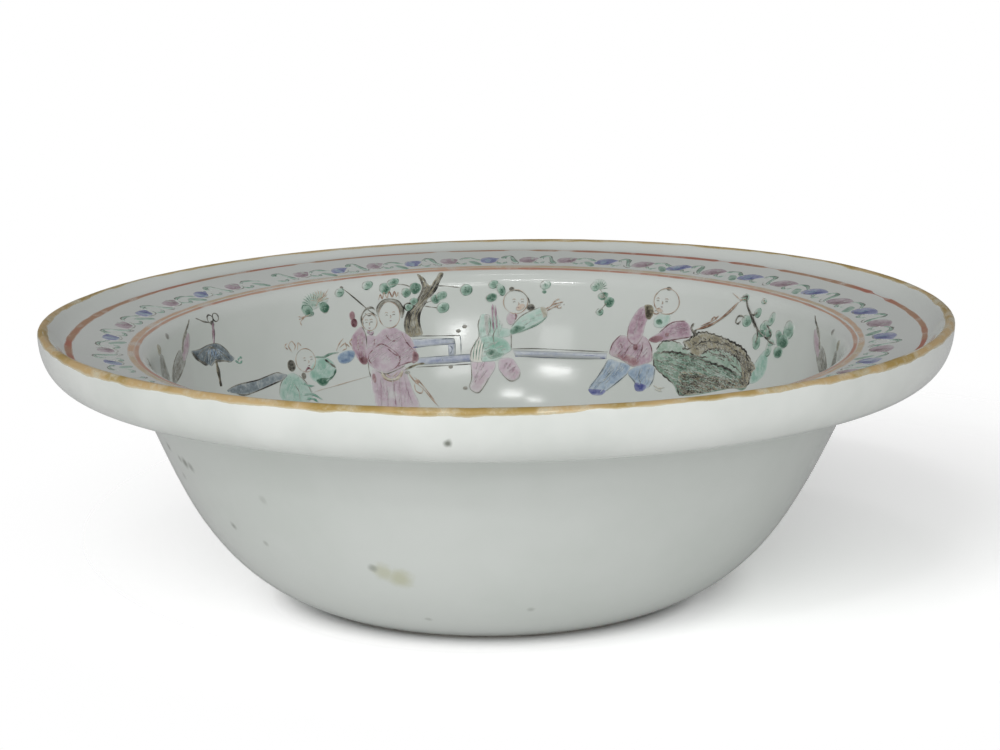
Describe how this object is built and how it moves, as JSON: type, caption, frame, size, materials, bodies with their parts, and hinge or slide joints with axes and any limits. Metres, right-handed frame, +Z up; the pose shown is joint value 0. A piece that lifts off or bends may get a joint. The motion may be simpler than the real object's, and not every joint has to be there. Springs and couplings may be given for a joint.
{
  "type": "wash basin",
  "caption": "Round porcelain wash basin with a broad upturned rim, small flat foot, gilt lip, iron-red lines, scroll border and a painted garden scene inside.",
  "frame": {"origin": "centre of the circle that the foot stands on, at the bottom of the basin", "axes": "+Z up along the basin's axis, +Y towards the painted side of the inner wall, +X to the right seen from the front"},
  "size_m": [0.37, 0.37, 0.1155],
  "materials": {
    "bare_porcelain": "matt bare fired porcelain",
    "clear_glaze": "glossy bluish-white glaze with faint ripples and specks",
    "worn_gilding": "worn ochre gilding, patchy and half matt",
    "iron_red": "thin iron-red enamel, uneven and broken",
    "ochre_enamel": "thin ochre enamel line",
    "border_enamels": "blue, rose and green enamels in relief",
    "ink_grey": "grey-black enamel wash",
    "smoke_blue": "smoky blue enamel wash",
    "turquoise_enamel": "translucent turquoise-green enamel",
    "leaf_green": "translucent green enamel",
    "rose_enamel": "opaque rose and mauve enamel",
    "bark_brown": "brown-black painted bark",
    "rail_blue": "pale blue enamel",
    "moss_green": "green enamel over black texture strokes"
  },
  "bodies": {
    "root": {"clay_body": "bare_porcelain", "glaze_coat": "clear_glaze", "base_glaze": "clear_glaze", "gilt_lip_line": "worn_gilding", "outer_red_line": "iron_red", "inner_red_line": "iron_red", "inner_ochre_line": "ochre_enamel", "scroll_border": "border_enamels", "reeds": "ink_grey", "lotus": "smoke_blue", "bench": "smoke_blue", "crouching_boy": "turquoise_enamel", "leaf_spray_left": "leaf_green", "nurse_and_child": "rose_enamel", "tree": "bark_brown", "fence_with_fret": "rail_blue", "running_boy": "turquoise_enamel", "long_rail": "rail_blue", "leaf_spray_right": "leaf_green", "boy_with_pole": "rose_enamel", "garden_rock": "moss_green", "leafy_plant": "leaf_green", "reeds_near": "ink_grey", "rock_near": "moss_green", "tree_near": "bark_brown", "running_boy_near": "turquoise_enamel", "fence_near": "rail_blue", "nurse_near": "rose_enamel", "boy_with_pole_near": "rose_enamel", "lotus_near": "smoke_blue"}
  },
  "joints": []
}
